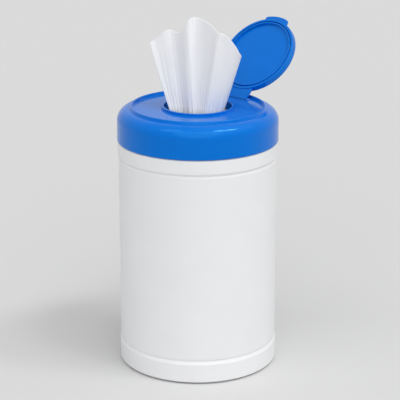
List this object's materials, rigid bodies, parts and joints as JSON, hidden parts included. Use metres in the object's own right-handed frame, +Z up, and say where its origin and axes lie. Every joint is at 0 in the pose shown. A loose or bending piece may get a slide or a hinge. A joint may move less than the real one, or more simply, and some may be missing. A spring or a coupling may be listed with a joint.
{
  "type": "wet wipes canister",
  "caption": "Round canister of wet wipes with a push-on cap, its flip lid open, and a wipe fanned up through the dispensing hole.",
  "frame": {"origin": "on the canister's axis, at the level that it stands on", "axes": "+Z up along the canister's axis; +Y towards the flip lid's hinge; +X along the hinge's axis"},
  "size_m": [0.1104, 0.1388, 0.2434],
  "materials": {
    "canister_plastic": "white blow-moulded polyethylene, satin",
    "cap_plastic": "blue injection-moulded polypropylene, semi-gloss",
    "wipe_fabric": "white spunlace nonwoven, moist"
  },
  "bodies": {
    "base": {"canister": "canister_plastic", "wipes_roll": "wipe_fabric"},
    "closure": {"cap": "cap_plastic", "pulled_wipe": "wipe_fabric"},
    "lid": {"flip_lid": "cap_plastic"}
  },
  "joints": [
    {"name": "cap_lift", "type": "slide", "parent": "base", "child": "closure", "axis": [0, 0, 1], "range_m": [0, 0.03]},
    {"name": "lid_flip", "type": "hinge", "parent": "closure", "child": "lid", "pos_m": [0, 0.036, 0.1813], "axis": [1, 0, 0], "range_deg": [0, 132], "deforming": ["pulled_wipe"]}
  ]
}
